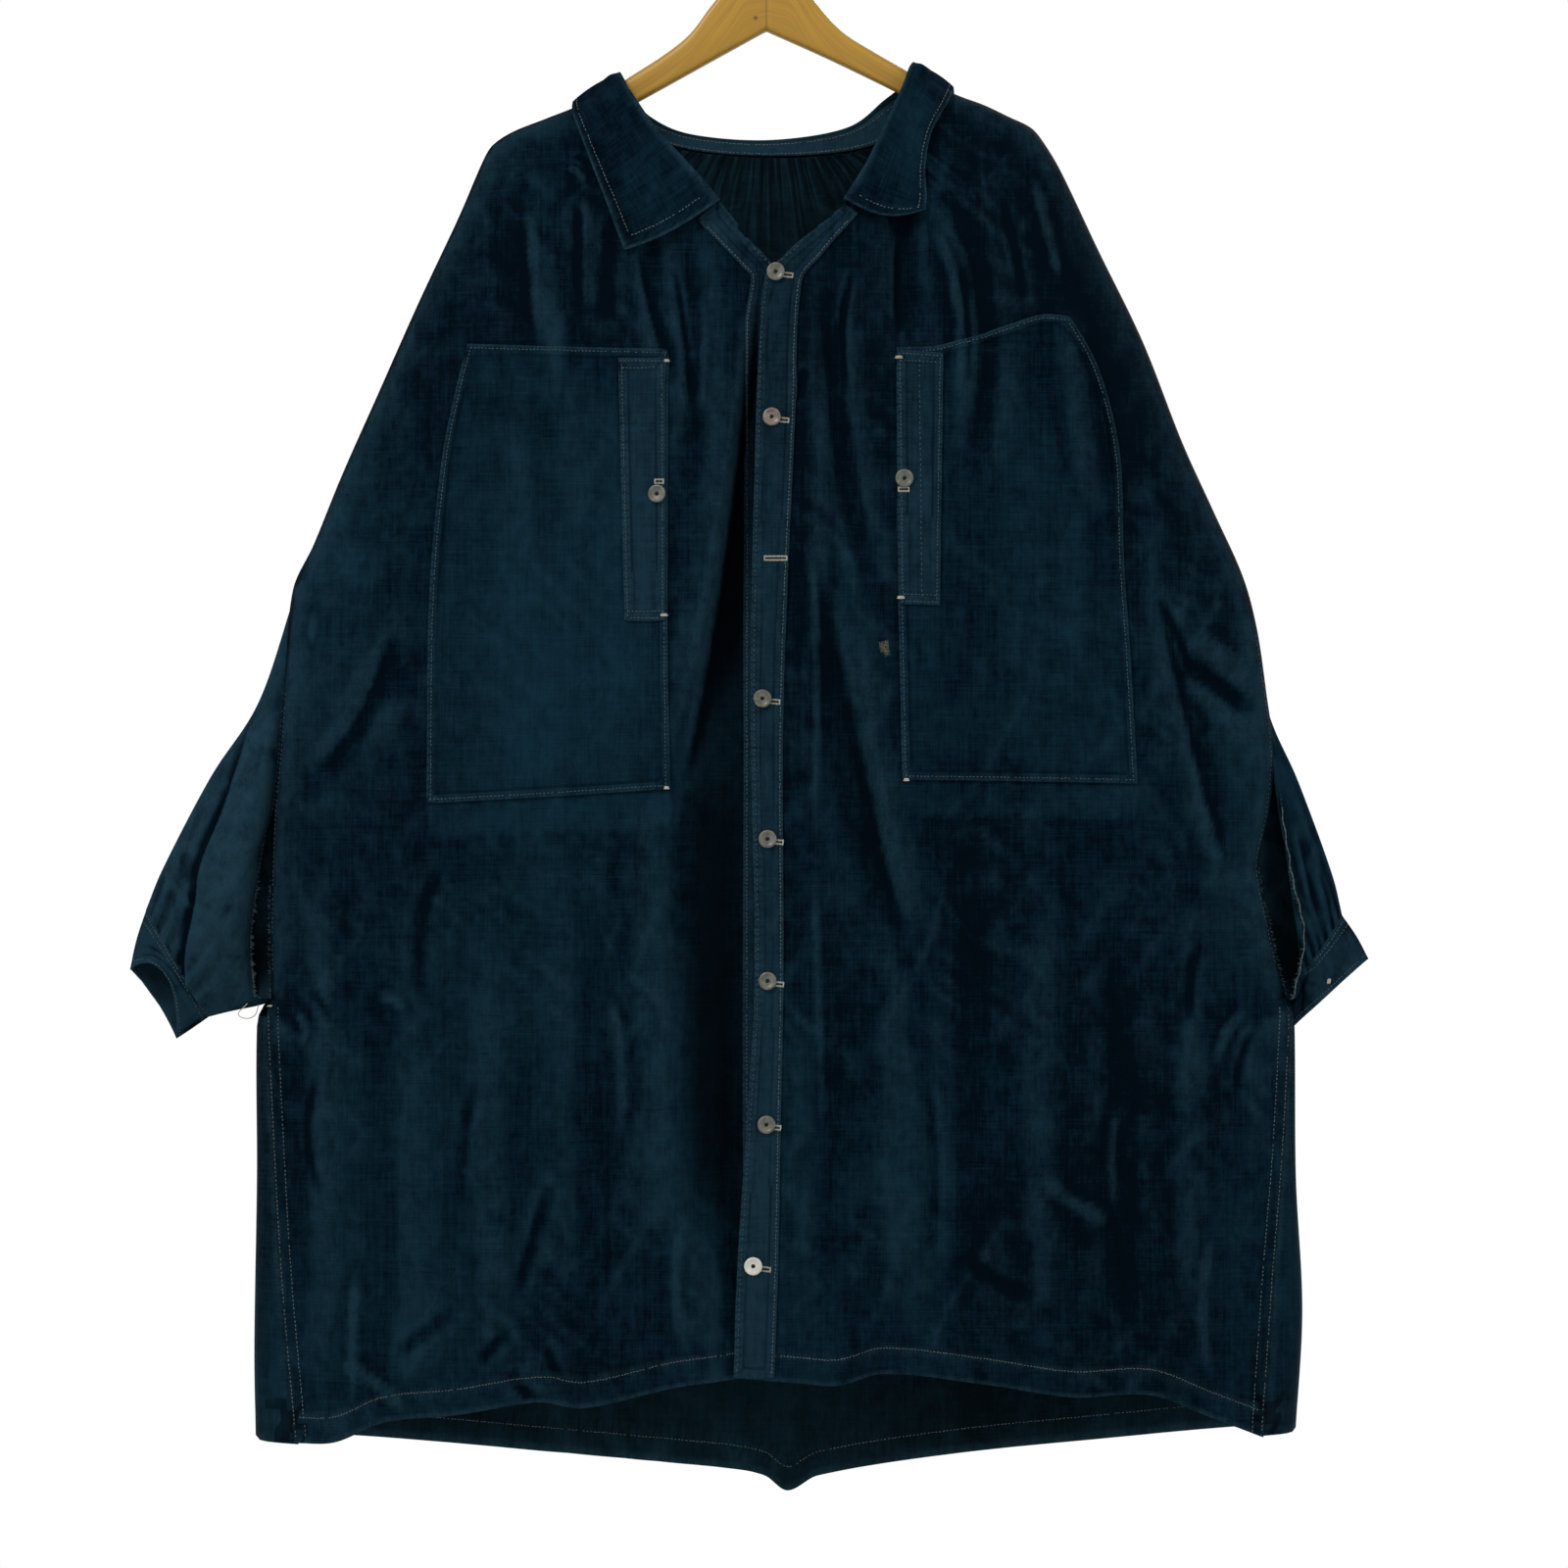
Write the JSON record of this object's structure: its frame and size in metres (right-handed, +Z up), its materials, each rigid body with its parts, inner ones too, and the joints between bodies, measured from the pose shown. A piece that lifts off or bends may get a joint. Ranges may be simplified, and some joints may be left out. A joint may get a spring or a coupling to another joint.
{
  "type": "linen work smock on a wooden hanger",
  "caption": "Wide button-front linen work smock with a turned-down collar, gathered neck, long sleeves gathered to cuffs and patch pockets, hanging on a flat wooden hanger.",
  "frame": {"origin": "inside top of the hanger hook's bowl, where a rail or peg holds it", "axes": "+Z up, -Y out of the smock's front, +X towards the wearer's left"},
  "size_m": [0.9601, 0.1082, 1.2725],
  "materials": {
    "linen": "heavy indigo-dyed linen, plain weave with slubs, matt and worn pale at seams and edges",
    "linen_band": "the same linen doubled and stitched down, rubbed paler along its edges",
    "hanger_wood": "straight-grained pale wood under clear varnish, satin",
    "hook_steel": "bright plated steel wire",
    "button_horn": "grey-brown horn-like button with a worn rim",
    "button_pearl": "pale shell-like button"
  },
  "bodies": {
    "root": {"front_right": "linen", "pocket_right": "linen", "pocket_welt_right": "linen_band", "button_band_right": "linen_band", "sleeve_right": "linen", "cuff_right": "linen_band", "hanger_arm_right": "hanger_wood", "front_left": "linen", "pocket_left": "linen", "pocket_welt_left": "linen_band", "button_band_left": "linen_band", "sleeve_left": "linen", "cuff_left": "linen_band", "hanger_arm_left": "hanger_wood", "back": "linen", "collar_stand": "linen_band", "collar_leaf": "linen", "front_button_1": "button_horn", "front_button_2": "button_horn", "front_button_3": "button_horn", "front_button_4": "button_horn", "front_button_5": "button_horn", "front_button_6": "button_pearl", "front_button_7": "button_pearl", "pocket_button_right": "button_horn", "pocket_button_left": "button_horn", "hanger_hook": "hook_steel"}
  },
  "joints": []
}
